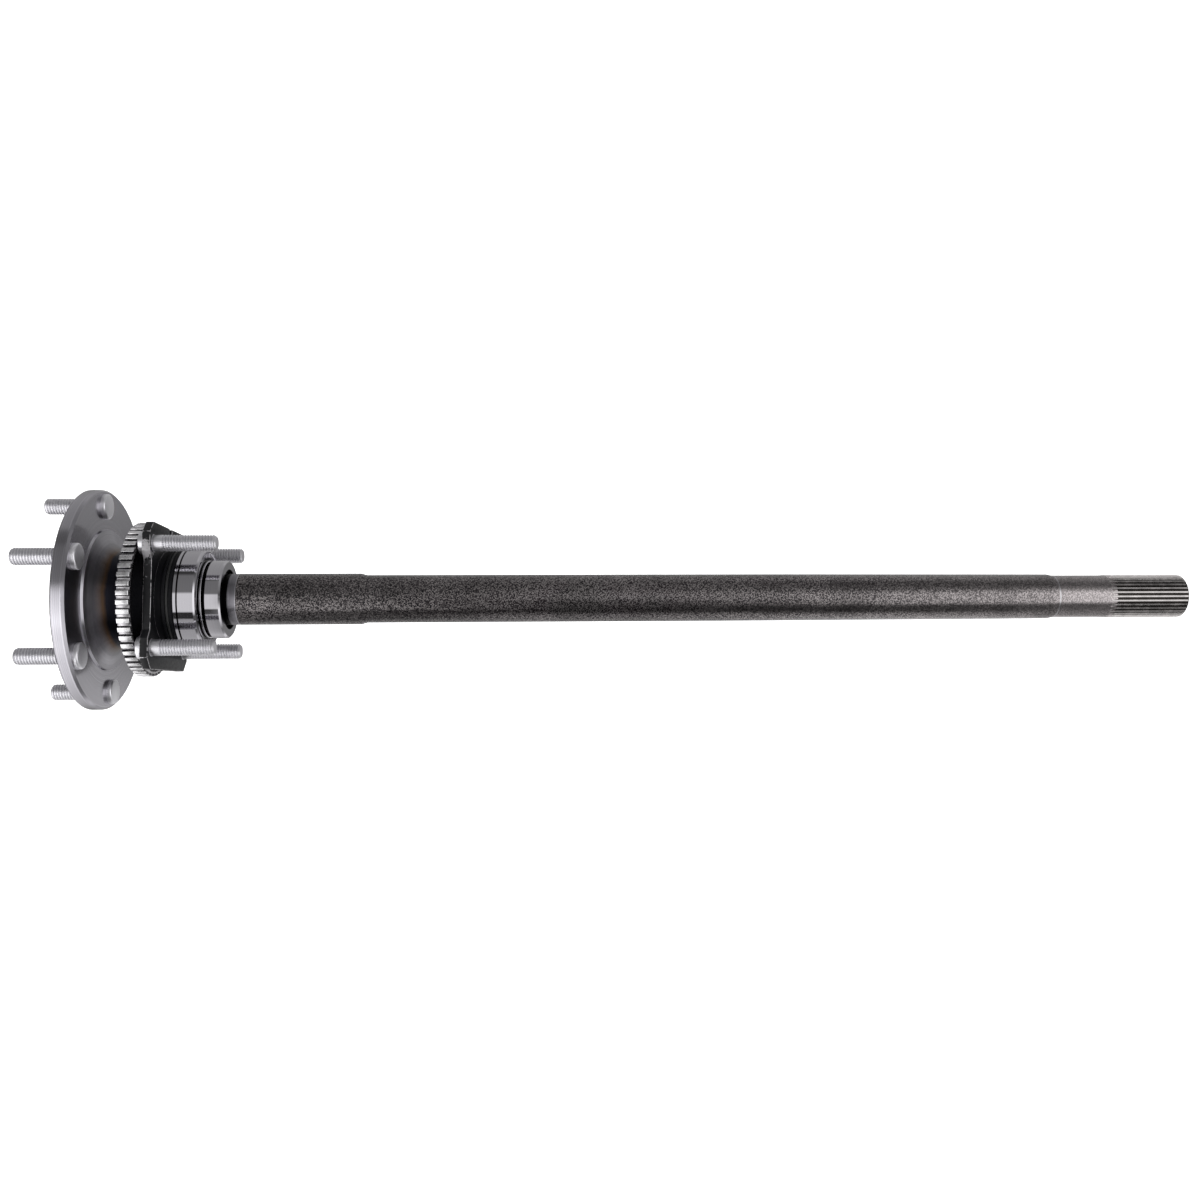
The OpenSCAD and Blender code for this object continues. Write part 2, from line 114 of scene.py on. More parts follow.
class AxleSizes(bpy.types.PropertyGroup):
    """Sizes of what is modelled on top of the CAD frame."""

    # The pitch is 1.5 mm on the part, and drawn coarser to show
    thread_pitch: length("Thread pitch", "Distance from one turn of a stud's thread to the next", 2.0)
    thread_depth: length("Thread depth", "Depth of a stud's thread", 1.0)
    seat_step: length("Seat step", "How far a stud's knurled seat stands out beyond its thread", 0.3)
    wheel_tip: length("Wheel stud tip", "Rounding of a wheel stud's tip", 2.5)
    wheel_head: length("Wheel stud head", "Radius of a wheel stud's head", 9.5)
    wheel_brim: length("Wheel stud brim", "Rounding of a wheel stud's head", 1.4)
    wheel_collar: length("Wheel stud collar", "Plain ring of a wheel stud next to the flange", 2.0)
    wheel_relief: length("Wheel stud relief", "Width of the groove between that ring and the thread", 1.4)
    plate_tip: length("Retainer stud tip", "Chamfer of a retainer stud's tip", 1.6)
    plate_head: length("Retainer stud head", "Radius of a retainer stud's head", 8.5)
    plate_brim: length("Retainer stud brim", "Rounding of a retainer stud's head", 1.0)
    plate_shank: length("Retainer stud shank", "Plain length of a retainer stud next to the plate", 6.0)
    plate_edge: length("Retainer edge", "Rounding of the retainer's edges", 0.9)
    tooth_edge: length("Tooth edge", "Rounding of the speed ring's edges", 0.4)
    slinger_edge: length("Slinger edge", "Rounding of the slinger's edges", 0.6)


class AxleColours(bpy.types.PropertyGroup):
    """Colours of the finishes, and of the painted shade and highlight laid on them."""

    turned: colour("Turned steel", "Steel of the flange as the lathe left it", "#AEACB2")
    seat: colour("Worn seat", "Duller steel of the seat next to the collar", "#828085")
    tint_brown: colour("Brown tint", "Oxide tint where the neck was hardened", "#594637")
    # Partly painted shade: this blue-black on the neck next to the speed ring stands for its shadow as well as
    # oxide tint
    tint_blue_and_shade: colour("Blue tint", "Deeper oxide tint next to the speed ring", "#24242B")
    scale: colour("Forging scale", "Dark scale of the forged shaft", "#2F2C2E")
    scale_worn: colour("Worn scale", "High spots of the scale", "#8E8989")
    scale_tail: colour("Hardened scale", "Lighter scale of the hardened end", "#B5AEAF")
    spline: colour("Spline", "Steel of the spline's teeth", "#BDB9B8")
    # Darker colour towards the floors of the spline's gaps
    spline_gap: colour("Spline gap", "Oil and oxide in the spline's gaps", "#2E2A28")
    zinc: colour("Zinc", "Zinc of the studs", "#DAD9DD")
    zinc_dark: colour("Dark zinc", "Darker grains of the zinc", "#BDBCC0")
    zinc_head: colour("Stud heads", "Zinc of the wheel studs' heads", "#E0DFE3")
    ground: colour("Ground steel", "Bearing ring and collar", "#BDBBC0")
    ring: colour("Speed ring", "Stamped steel of the speed ring", "#E2E1E3")
    ring_gap: colour("Speed ring gap", "Greyer steel between the ring's teeth", "#B4B2B5")
    # Painted shade: the dark colour of the teeth's flanks
    flank_shade: colour("Speed ring flank", "Dark flanks of the ring's teeth", "#5E5C5F")
    paint: colour("Black paint", "Paint of the retainer", "#0D0D11")
    # Also the colour of the painted highlight on the retainer's edge nearest the camera
    bare: colour("Bare metal", "Steel where the paint has worn off", "#B9B7BA")
    # Painted shade: near-black for grooves, gaps and recesses, and for the dark reflection beside the collar
    recess_shade: colour("Oil", "Oil and soot in grooves and recesses", "#0B0A0A")
    rubber: colour("Rubber", "Nitrile rubber of the seals", "#121213")
    nylon: colour("Nylon", "Glass-filled nylon of the ball cage", "#B7A67C")


class AxleStudio(bpy.types.PropertyGroup):
    """Camera and backdrop."""

    camera_at: FloatVectorProperty(
        name="Camera place", description="Where the camera stands", default=(0.32127, -0.85962, -0.07478),
        subtype="TRANSLATION", unit="LENGTH", precision=5)
    camera_turn: FloatVectorProperty(
        name="Camera turn", description="How the camera is turned",
        default=tuple(math.radians(a) for a in (94.859, 0.551, -3.918)), subtype="EULER", unit="ROTATION")
    lens: FloatProperty(
        name="Lens", description="Focal length on a 36 mm sensor, in millimetres", default=33.443,
        subtype="DISTANCE_CAMERA")
    floor_depth: length("Floor depth", "How far the floor lies below the shaft's axis", 700)
    backdrop_radius: length("Backdrop radius", "Distance of the round backdrop from the shaft's middle", 6000)
    paper: colour("Paper", "White paper of the floor and backdrop", "#F7F7F7")


# Brightness of the studio by angle about the shaft's axis, in degrees from the camera's side: 90 is straight
# up, -90 straight down. Softboxes face the shaft, with dark gaps between them.
PANEL = ((-180, 0.05), (-150, 0.15), (-115, 0.90), (-60, 1.6), (12, 1.6), (24, 0.30), (60, 0.30), (90, 0.50),
         (130, 0.40), (160, 0.10), (180, 0.05))
RIM = ((-180, 0.05), (-160, 0.25), (-135, 0.85), (-90, 2.0), (-25, 3.0), (2, 1.8), (12, 0.30), (50, 0.24),
       (56, 0.16), (68, 0.20), (74, 0.42), (125, 0.50), (160, 0.20), (180, 0.05))
RING = ((-180, 0.36), (-160, 0.45), (-135, 0.80), (-100, 0.60), (-51, 0.50), (-48, 0.04), (-35, 0.04),
        (-32, 1.05), (8, 1.05), (12, 0.27), (50, 0.24), (56, 0.06), (68, 0.07), (73, 0.42), (125, 0.45),
        (160, 0.40), (180, 0.36))
LEFT = ((-180, 0.36), (-150, 0.60), (-128, 0.40), (-115, 0.02), (-64, 0.02), (-54, 1.1), (-28, 1.0),
        (-15, 0.22), (12, 0.19), (50, 0.30), (75, 0.36), (100, 0.45), (150, 0.50), (180, 0.36))
MIDDLE = ((-180, 0.40), (-150, 0.60), (-115, 0.75), (-92, 0.60), (-78, 0.02), (-24, 0.02), (-8, 0.60),
          (6, 0.75), (24, 0.55), (45, 0.48), (75, 0.42), (100, 0.60), (150, 0.50), (180, 0.40))
RIGHT = ((-180, 0.80), (-158, 1.0), (-130, 1.1), (-98, 0.85), (-85, 0.08), (-47, 0.08), (-37, 1.0), (10, 1.2),
         (28, 0.38), (48, 0.16), (80, 0.22), (96, 0.62), (130, 0.60), (158, 0.50), (169, 0.42), (173, 0.22),
         (177, 0.22), (180, 0.80))
TAIL = ((-180, 0.80), (-158, 0.80), (-130, 0.30), (-80, 0.22), (-62, 0.12), (-46, 0.15), (-34, 1.6),
        (16, 1.7), (40, 0.35), (60, 0.12), (95, 0.30), (130, 0.50), (158, 0.50), (169, 0.42), (173, 0.22),
        (177, 0.22), (180, 0.80))
GAP = ((-180, 0.05), (-140, 0.10), (-90, 0.60), (-40, 0.40), (0, 0.10), (40, 0.10), (90, 0.40), (180, 0.05))
# Which bands face a ray, by the share of its direction that runs along the shaft
STUDIO = ((-0.80, PANEL), (-0.62, RIM), (-0.36, RIM), (-0.31, RING), (-0.265, RING), (-0.225, LEFT),
          (-0.11, LEFT), (-0.03, MIDDLE), (0.21, MIDDLE), (0.24, RIGHT), (0.38, RIGHT), (0.46, TAIL),
          (0.62, TAIL), (0.80, PANEL), (0.93, PANEL), (0.97, GAP))


# Modelling

def select_only(obj):
    """Leaves obj as the one selected and active object."""
    bpy.ops.object.select_all(action="DESELECT")
    obj.hide_viewport = False
    obj.select_set(True)
    bpy.context.view_layer.objects.active = obj


@contextmanager
def editing(obj):
    """Edit mode on obj, with all of its mesh selected at the start."""
    select_only(obj)
    bpy.ops.object.mode_set(mode="EDIT")
    bpy.ops.mesh.select_all(action="SELECT")
    yield
    bpy.ops.object.mode_set(mode="OBJECT")


def drawn_line(name, points):
    """A chain of edges in the X-Z plane through (distance along X, height) points."""
    bpy.ops.object.select_all(action="DESELECT")
    bpy.ops.mesh.primitive_plane_add(size=MM)
    obj = bpy.context.object
    obj.name = name
    with editing(obj):
        bpy.ops.mesh.merge(type="CENTER")
        bpy.ops.transform.translate(value=(points[0][0], 0, points[0][1]))
        for (x0, z0), (x1, z1) in zip(points, points[1:]):
            bpy.ops.mesh.extrude_region_move(TRANSFORM_OT_translate={"value": (x1 - x0, 0, z1 - z0)})
    return obj


def apply_modifier(obj, kind, **settings):
    """Adds a modifier with its settings and applies it."""
    select_only(obj)
    modifier = obj.modifiers.new(kind.title(), kind)
    for key, value in settings.items():
        setattr(modifier, key, value)
    bpy.ops.object.modifier_apply(modifier=modifier.name)


def closed(obj):
    """Merges what meets and points the faces outwards."""
    with editing(obj):
        bpy.ops.mesh.remove_doubles(threshold=0.002 * MM)
        bpy.ops.mesh.normals_make_consistent(inside=False)


def smoothed(obj, degrees=32):
    """Shades curved faces smooth and keeps the edges sharper than an angle."""
    select_only(obj)
    bpy.ops.object.shade_smooth_by_angle(angle=math.radians(degrees))


def rounded(x, r, size, way, steps=4):
    """Points of a rounded edge at the end x of a rod of radius r that lies in way, +1 or -1, of that end."""
    turns = [math.pi / 2 * i / steps for i in range(steps + 1)]
    points = [(x + way * size * (1 - math.cos(t)), r - size + size * math.sin(t)) for t in turns]
    return points if way > 0 else points[::-1]


def turned_solid(name, outline, steps=48):
    """A solid turned about X from its outline, which starts and ends on the axis."""
    obj = drawn_line(name, outline)
    with editing(obj):
        bpy.ops.mesh.spin(steps=steps, angle=2 * math.pi, center=(0, 0, 0), axis=(1, 0, 0))
    closed(obj)
    return obj


def thread_cutter(start, end, crest, sizes):
    """A ridge wound about X from start to end, which cuts a thread into a rod of radius crest."""
    pitch, clear = sizes.thread_pitch, 0.25 * MM
    # Half the width of a groove, at its top and at its flat root
    half, flat = 0.35 * pitch, 0.06 * pitch
    root = crest - sizes.thread_depth
    flare = (half - flat) * clear / sizes.thread_depth
    cutter = drawn_line("thread_cutter", [
        (start - flat, root), (start + flat, root), (start + half + flare, crest + clear),
        (start - half - flare, crest + clear)])
    with editing(cutter):
        bpy.ops.mesh.edge_face_add()
    turns = round((end - start) / pitch)
    apply_modifier(cutter, "SCREW", axis="X", angle=2 * math.pi, screw_offset=pitch, iterations=turns,
                   steps=24, render_steps=24)
    with editing(cutter):
        bpy.ops.mesh.fill_holes(sides=4)
        bpy.ops.mesh.normals_make_consistent(inside=False)
    return cutter


def threaded(stud, start, end, crest, sizes):
    """Cuts the thread into a stud, between two stations on its axis."""
    cutter = thread_cutter(start, end, crest, sizes)
    apply_modifier(stud, "BOOLEAN", operation="DIFFERENCE", solver="EXACT", object=cutter)
    bpy.data.objects.remove(cutter)
    smoothed(stud)


def placed_copies(pattern, name, places):
    """Copies of a pattern along X, each with its own mesh, moved to (y, z) and turned about its own axis."""
    copies = []
    for number, (y, z) in enumerate(places, start=1):
        copy = pattern.copy()
        copy.data = pattern.data.copy()
        copy.name = f"{name}_{number}"
        copy.data.transform(Matrix.Translation((0, y, z)) @ Matrix.Rotation(THREAD_TURN * number, 4, "X"))
        bpy.context.collection.objects.link(copy)
        copies.append(copy)
    bpy.data.objects.remove(pattern)
    return copies


def copied_node(node, name):
    """A merged copy of a CAD node's mesh, with the triangles of each flat face joined."""
    source = frame["nodes"][node]
    copy = bpy.data.objects.new(name, source.data.copy())
    bpy.context.collection.objects.link(copy)
    copy.data.materials.clear()
    with editing(copy):
        bpy.ops.mesh.customdata_custom_splitnormals_clear()
        bpy.ops.mesh.remove_doubles(threshold=0.002 * MM)
        bpy.ops.mesh.dissolve_limited(angle_limit=math.radians(0.2))
    return copy


def set_in(obj, body, node, slot, *materials):
    """Gives a piece its materials and body, in the place of a CAD node; slot is not used."""
    for material in materials:
        obj.data.materials.append(material)
    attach(obj, body)
    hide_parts(node)


# Materials

# Where ground steel is painted near-black as shade: middle and half length along the axis, and the radius they
# reach, in mm. The outer ring's groove, the gaps before and behind the slinger, and the recess in the collar's
# end.
RECESS_SHADE = ((71.0, 0.62, 37.8), (83.6, 0.6, 31.8), (86.9, 0.95, 28.6), (98.0, 4.0, 22.8))


def add_node(tree, kind, inputs=None, stops=None, **settings):
    """Adds a node with its settings; inputs are values or other nodes' sockets, stops fill a colour ramp."""
    node = tree.nodes.new(kind)
    for key, value in settings.items():
        setattr(node, key, value)
    for key, value in (inputs or {}).items():
        if isinstance(value, bpy.types.NodeSocket):
            tree.links.new(value, node.inputs[key])
        else:
            node.inputs[key].default_value = value
    if stops:
        elements = node.color_ramp.elements
        while len(elements) < len(stops):
            elements.new(1.0)
        for element, (position, shade) in zip(elements, stops):
            element.position = position
            element.color = shade if hasattr(shade, "__len__") else (shade, shade, shade, 1.0)
    return node


def new_material(name):
    """An empty node material, with its tree and its Object coordinates."""
    material = bpy.data.materials.new(name)
    material.use_nodes = True
    tree = material.node_tree
    tree.nodes.clear()
    place = add_node(tree, "ShaderNodeTexCoord").outputs["Object"]
    return material, tree, place


def from_axis(tree, axes):
    """Distance from the shaft's axis."""
    across = add_node(tree, "ShaderNodeCombineXYZ", {"Y": axes["Y"], "Z": axes["Z"]}).outputs["Vector"]
    return add_node(tree, "ShaderNodeVectorMath", {0: across}, operation="LENGTH").outputs["Value"]


def shaded(tree, **inputs):
    """Ends a material in one Principled shader with these inputs."""
    named = {key.replace("_", " ").title().replace("Ior", "IOR"): value for key, value in inputs.items()}
    shader = add_node(tree, "ShaderNodeBsdfPrincipled", named)
    add_node(tree, "ShaderNodeOutputMaterial", {"Surface": shader.outputs["BSDF"]})


def turned_steel(colours):
    """Turned forging steel: tool marks that smear the light across them, oxide tint and painted shade at the
    neck, painted shade by the collar.
    """
    material, tree, place = new_material("Turned forging steel")
    axes = add_node(tree, "ShaderNodeSeparateXYZ", {0: place}).outputs
    radius = from_axis(tree, axes)
    # Tool marks are 0.2 mm apart on the part, and drawn about 1 mm apart to show
    way = add_node(tree, "ShaderNodeMath", {0: axes["X"], 1: radius}, operation="ADD").outputs[0]
    marks = add_node(tree, "ShaderNodeTexNoise", {"W": way, "Scale": 1 / (1.0 * MM), "Detail": 2.0,
                                                  "Roughness": 0.6}, noise_dimensions="1D").outputs["Fac"]
    cloud = add_node(tree, "ShaderNodeTexNoise", {"Vector": place, "Scale": 1 / (14 * MM),
                                                  "Detail": 4.0}).outputs["Fac"]
    # Tint by distance along the axis, from 10 mm to 40 mm, where only the neck and its sweep lie; its
    # blue-black is oxide tint and painted shade of the neck next to the speed ring
    along = add_node(tree, "ShaderNodeMapRange", {"Value": axes["X"], "From Min": 10 * MM,
                                                  "From Max": 40 * MM}).outputs["Result"]
    wavy = add_node(tree, "ShaderNodeMath", {0: cloud, 1: 0.12, 2: along},
                    operation="MULTIPLY_ADD").outputs[0]
    tint = add_node(tree, "ShaderNodeValToRGB", {"Fac": wavy}, stops=[
        (0.08, colours.turned), (0.20, colours.seat), (0.36, colours.tint_brown), (0.44, colours.tint_blue_and_shade),
        (0.90, colours.tint_blue_and_shade), (0.99, colours.turned)]).outputs["Color"]
    # Painted shade under the collar and a painted dark reflection of its end next to it, from 80 mm to 102 mm,
    # and the worn seat from 102 mm to 107.4 mm
    for middle, half, shade_and_seat in ((91.0, 11.0, colours.recess_shade), (104.7, 2.7, colours.seat)):
        zone = add_node(tree, "ShaderNodeMath", {0: axes["X"], 1: middle * MM, 2: half * MM},
                        operation="COMPARE").outputs[0]
        tint = add_node(tree, "ShaderNodeMix", {"Factor": zone, "A": tint, "B": shade_and_seat},
                        data_type="RGBA").outputs["Result"]
    shade = add_node(tree, "ShaderNodeMapRange", {"Value": marks, "From Min": 0.3, "From Max": 0.7,
                                                  "To Min": 0.82, "To Max": 1.08}).outputs["Result"]
    base = add_node(tree, "ShaderNodeVectorMath", {0: tint, "Scale": shade}, operation="SCALE").outputs[0]
    # The sweep up to the neck, beyond the boss, is turned more coarsely than the flange
    roughness = add_node(tree, "ShaderNodeMapRange", {"Value": axes["X"], "From Min": (SWEEP_START - 0.8) * MM,
                                                      "From Max": SWEEP_START * MM, "To Min": 0.20,
                                                      "To Max": 0.40}).outputs["Result"]
    normal = add_node(tree, "ShaderNodeBump", {"Height": marks, "Strength": 0.10,
                                               "Distance": 0.05 * MM}).outputs["Normal"]
    grain = add_node(tree, "ShaderNodeTangent", direction_type="RADIAL", axis="X").outputs["Tangent"]
    shaded(tree, base_color=base, metallic=1.0, roughness=roughness, anisotropic=0.75,
           anisotropic_rotation=0.25, tangent=grain, normal=normal)
    return material


def forged_scale(colours):
    """Forging scale: a dull black crust with worn grey high spots, lighter at the hardened end."""
    material, tree, place = new_material("Forging scale")
    axes = add_node(tree, "ShaderNodeSeparateXYZ", {0: place}).outputs
    # Wrinkles of the scale are 0.5 mm apart on the part, and drawn about 1.5 mm apart to show
    crust = add_node(tree, "ShaderNodeTexNoise", {"Vector": place, "Scale": 1 / (0.95 * MM), "Detail": 0.0,
                                                  "Distortion": 0.9}).outputs["Fac"]
    stain = add_node(tree, "ShaderNodeTexNoise", {"Vector": place, "Scale": 1 / (30 * MM),
                                                  "Detail": 5.0}).outputs["Fac"]
    worn = add_node(tree, "ShaderNodeMapRange", {"Value": crust, "From Min": 0.43,
                                                 "From Max": 0.61}).outputs["Result"]
    # The scale gets lighter to the second step and is lightest beyond it, by metres along the axis
    tail = add_node(tree, "ShaderNodeValToRGB", {"Fac": axes["X"]}, stops=[
        (0.40, 0.0), (0.60, 0.14), (0.735, 0.42), (0.742, 0.90), (0.80, 1.0)]).outputs["Color"]
    light = add_node(tree, "ShaderNodeMix", {"Factor": tail, "A": colours.scale_worn,
                                             "B": colours.scale_tail}, data_type="RGBA").outputs["Result"]
    dark = add_node(tree, "ShaderNodeMix", {"Factor": tail, "A": colours.scale,
                                            "B": colours.scale_worn}, data_type="RGBA").outputs["Result"]
    base = add_node(tree, "ShaderNodeMix", {"Factor": worn, "A": dark, "B": light},
                    data_type="RGBA").outputs["Result"]
    shade = add_node(tree, "ShaderNodeMapRange", {"Value": stain, "From Min": 0.3, "From Max": 0.7,
                                                  "To Min": 0.8, "To Max": 1.15}).outputs["Result"]
    base = add_node(tree, "ShaderNodeVectorMath", {0: base, "Scale": shade}, operation="SCALE").outputs[0]
    # A bright line round the foot of the second step
    line = add_node(tree, "ShaderNodeMath", {0: axes["X"], 1: STEP_FOOT * MM, 2: 0.5 * MM},
                    operation="COMPARE").outputs[0]
    base = add_node(tree, "ShaderNodeMix", {"Factor": line, "A": base, "B": colours.bare},
                    data_type="RGBA").outputs["Result"]
    roughness = add_node(tree, "ShaderNodeMapRange", {"Value": tail, "To Min": 0.25,
                                                      "To Max": 0.22}).outputs["Result"]
    normal = add_node(tree, "ShaderNodeBump", {"Height": crust, "Strength": 0.15,
                                               "Distance": 0.1 * MM}).outputs["Normal"]
    shaded(tree, base_color=base, metallic=0.93, roughness=roughness, normal=normal)
    return material


def spline_steel(colours):
    """Rolled spline: bright tooth tops and flanks, darker towards the floors of the gaps."""
    material, tree, place = new_material("Rolled spline steel")
    axes = add_node(tree, "ShaderNodeSeparateXYZ", {0: place}).outputs
    radius = from_axis(tree, axes)
    blotch = add_node(tree, "ShaderNodeTexNoise", {"Vector": place, "Scale": 1 / (5 * MM),
                                                   "Detail": 5.0}).outputs["Fac"]
    # Darker towards the floors of the gaps, by distance from the axis
    depth = add_node(tree, "ShaderNodeMapRange", {"Value": radius, "From Min": 15.7 * MM,
                                                  "From Max": 16.8 * MM}).outputs["Result"]
    steel = add_node(tree, "ShaderNodeMix", {"Factor": depth, "A": colours.spline_gap, "B": colours.spline},
                     data_type="RGBA").outputs["Result"]
    shade = add_node(tree, "ShaderNodeMapRange", {"Value": blotch, "From Min": 0.3, "From Max": 0.7,
                                                  "To Min": 0.7, "To Max": 1.15}).outputs["Result"]
    base = add_node(tree, "ShaderNodeVectorMath", {0: steel, "Scale": shade}, operation="SCALE").outputs[0]
    roughness = add_node(tree, "ShaderNodeMapRange", {"Value": blotch, "From Min": 0.3, "From Max": 0.7,
                                                      "To Min": 0.18, "To Max": 0.34}).outputs["Result"]
    shaded(tree, base_color=base, metallic=0.95, roughness=roughness)
    return material


def stud_zinc(colours):
    """Zinc plate on steel: a light, fine-grained grey that scatters the light."""
    material, tree, place = new_material("Zinc plate")
    grains = add_node(tree, "ShaderNodeTexNoise", {"Vector": place, "Scale": 1 / (0.9 * MM), "Detail": 3.0,
                                                   "Roughness": 0.7}).outputs["Fac"]
    cloud = add_node(tree, "ShaderNodeTexNoise", {"Vector": place, "Scale": 1 / (8 * MM),
                                                  "Detail": 3.0}).outputs["Fac"]
    mixed = add_node(tree, "ShaderNodeMath", {0: cloud, 1: 0.5, 2: grains},
                     operation="MULTIPLY_ADD").outputs[0]
    base = add_node(tree, "ShaderNodeValToRGB", {"Fac": mixed}, stops=[
        (0.45, colours.zinc_dark), (0.80, colours.zinc)]).outputs["Color"]
    # The heads of the wheel studs, up to 20 mm from the wheel's face, are rubbed even
    along = add_node(tree, "ShaderNodeSeparateXYZ", {0: place}).outputs["X"]
    head = add_node(tree, "ShaderNodeMath", {0: along, 1: HEAD_MIDDLE * MM, 2: HEAD_REACH * MM},
                    operation="COMPARE").outputs[0]
    base = add_node(tree, "ShaderNodeMix", {"Factor": head, "A": base, "B": colours.zinc_head},
                    data_type="RGBA").outputs["Result"]
    roughness = add_node(tree, "ShaderNodeMapRange", {"Value": grains, "From Min": 0.3, "From Max": 0.7,
                                                      "To Min": 0.30, "To Max": 0.42}).outputs["Result"]
    normal = add_node(tree, "ShaderNodeBump", {"Height": grains, "Strength": 0.1,
                                               "Distance": 0.04 * MM}).outputs["Normal"]
    shaded(tree, base_color=base, metallic=0.85, roughness=roughness, normal=normal)
    return material


def ground_steel(colours):
    """Ground bearing steel: clear reflections, faint grinding marks round the axis, painted shade in its
    grooves and gaps.
    """
    material, tree, place = new_material("Ground bearing steel")
    axes = add_node(tree, "ShaderNodeSeparateXYZ", {0: place}).outputs
    # Grinding marks are a few hundredths of a millimetre wide, and drawn at 0.7 mm to show
    marks = add_node(tree, "ShaderNodeTexNoise", {"W": axes["X"], "Scale": 1 / (0.7 * MM), "Detail": 3.0},
                     noise_dimensions="1D").outputs["Fac"]
    haze = add_node(tree, "ShaderNodeTexNoise", {"Vector": place, "Scale": 1 / (9 * MM),
                                                 "Detail": 5.0}).outputs["Fac"]
    shade = add_node(tree, "ShaderNodeMapRange", {"Value": marks, "From Min": 0.25, "From Max": 0.75,
                                                  "To Min": 0.95, "To Max": 1.03}).outputs["Result"]
    steel = add_node(tree, "ShaderNodeVectorMath", {0: colours.ground[:3], "Scale": shade},
                     operation="SCALE").outputs[0]
    radius = from_axis(tree, axes)
    in_shade = 0.0
    # Painted shade: near-black in each groove, gap and recess of the table above
    for middle, half, limit in RECESS_SHADE:
        along = add_node(tree, "ShaderNodeMath", {0: axes["X"], 1: middle * MM, 2: half * MM},
                         operation="COMPARE").outputs[0]
        inside = add_node(tree, "ShaderNodeMath", {0: radius, 1: limit * MM},
                          operation="LESS_THAN").outputs[0]
        in_shade = add_node(tree, "ShaderNodeMath", {0: along, 1: inside, 2: in_shade},
                        operation="MULTIPLY_ADD").outputs[0]
    base = add_node(tree, "ShaderNodeMix", {"Factor": in_shade, "A": steel, "B": colours.recess_shade},
                    data_type="RGBA").outputs["Result"]
    roughness = add_node(tree, "ShaderNodeMapRange", {"Value": haze, "From Min": 0.3, "From Max": 0.7,
                                                      "To Min": 0.03, "To Max": 0.07}).outputs["Result"]
    shaded(tree, base_color=base, metallic=1.0, roughness=roughness)
    return material


def ring_steel(colours):
    """Stamped steel of the speed ring: bright tooth tops, flanks painted dark as shade, greyer floors between
    the teeth.
    """
    material, tree, place = new_material("Stamped ring steel")
    axes = add_node(tree, "ShaderNodeSeparateXYZ", {0: place}).outputs
    radius = from_axis(tree, axes)
    speck = add_node(tree, "ShaderNodeTexNoise", {"Vector": place, "Scale": 1 / (2.5 * MM),
                                                  "Detail": 5.0}).outputs["Fac"]
    # From the floor of a gap, over its flank, painted dark as shade, to the top of a tooth
    height = add_node(tree, "ShaderNodeMapRange", {"Value": radius, "From Min": 55.5 * MM,
                                                   "From Max": 58 * MM}).outputs["Result"]
    steel = add_node(tree, "ShaderNodeValToRGB", {"Fac": height}, stops=[
        (0.06, colours.ring_gap), (0.14, colours.flank_shade), (0.70, colours.flank_shade),
        (0.84, colours.ring)]).outputs["Color"]
    shade = add_node(tree, "ShaderNodeMapRange", {"Value": speck, "From Min": 0.3, "From Max": 0.7,
                                                  "To Min": 0.82, "To Max": 1.06}).outputs["Result"]
    base = add_node(tree, "ShaderNodeVectorMath", {0: steel, "Scale": shade}, operation="SCALE").outputs[0]
    roughness = add_node(tree, "ShaderNodeMapRange", {"Value": speck, "From Min": 0.3, "From Max": 0.7,
                                                      "To Min": 0.22, "To Max": 0.36}).outputs["Result"]
    shaded(tree, base_color=base, metallic=1.0, roughness=roughness)
    return material


def black_paint(colours, name, wear, gloss):
    """Black chassis paint with fine orange peel: wear bares steel in specks, a painted highlight of bare steel
    sits on the plate's edge nearest the camera, gloss runs from 0 to 1.
    """
    material, tree, place = new_material(name)
    peel = add_node(tree, "ShaderNodeTexNoise", {"Vector": place, "Scale": 1 / (2.2 * MM), "Detail": 3.0,
                                                 "Roughness": 0.55}).outputs["Fac"]
    rub = add_node(tree, "ShaderNodeTexNoise", {"Vector": place, "Scale": 1 / (3.5 * MM), "Detail": 6.0,
                                                "Roughness": 0.7}).outputs["Fac"]
    # A painted highlight of bare steel on the plate's edge nearest the camera
    highlight_distance = add_node(tree, "ShaderNodeVectorMath", {0: place, 1: (51 * MM, -46 * MM, 31 * MM)},
                     operation="DISTANCE").outputs["Value"]
    highlight_patch = add_node(tree, "ShaderNodeMapRange", {"Value": highlight_distance, "From Min": 3 * MM, "From Max": 12 * MM,
                                                 "To Min": 0.30, "To Max": 0.0}).outputs["Result"]
    # Wear and the painted highlight together decide where bare steel shows
    rubbed = add_node(tree, "ShaderNodeMath", {0: rub, 1: highlight_patch}, operation="ADD").outputs[0]
    bare = add_node(tree, "ShaderNodeMapRange", {"Value": rubbed, "From Min": 0.68 - wear,
                                                 "From Max": 0.74 - wear}).outputs["Result"]
    base = add_node(tree, "ShaderNodeMix", {"Factor": bare, "A": colours.paint, "B": colours.bare},
                    data_type="RGBA").outputs["Result"]
    roughness = add_node(tree, "ShaderNodeMapRange", {"Value": peel, "From Min": 0.3, "From Max": 0.7,
                                                      "To Min": 0.60 - 0.34 * gloss,
                                                      "To Max": 0.75 - 0.33 * gloss}).outputs["Result"]
    normal = add_node(tree, "ShaderNodeBump", {"Height": peel, "Strength": 0.35,
                                               "Distance": 0.12 * MM}).outputs["Normal"]
    shaded(tree, base_color=base, metallic=bare, roughness=roughness, specular_ior_level=0.5 * gloss,
           normal=normal)
    return material


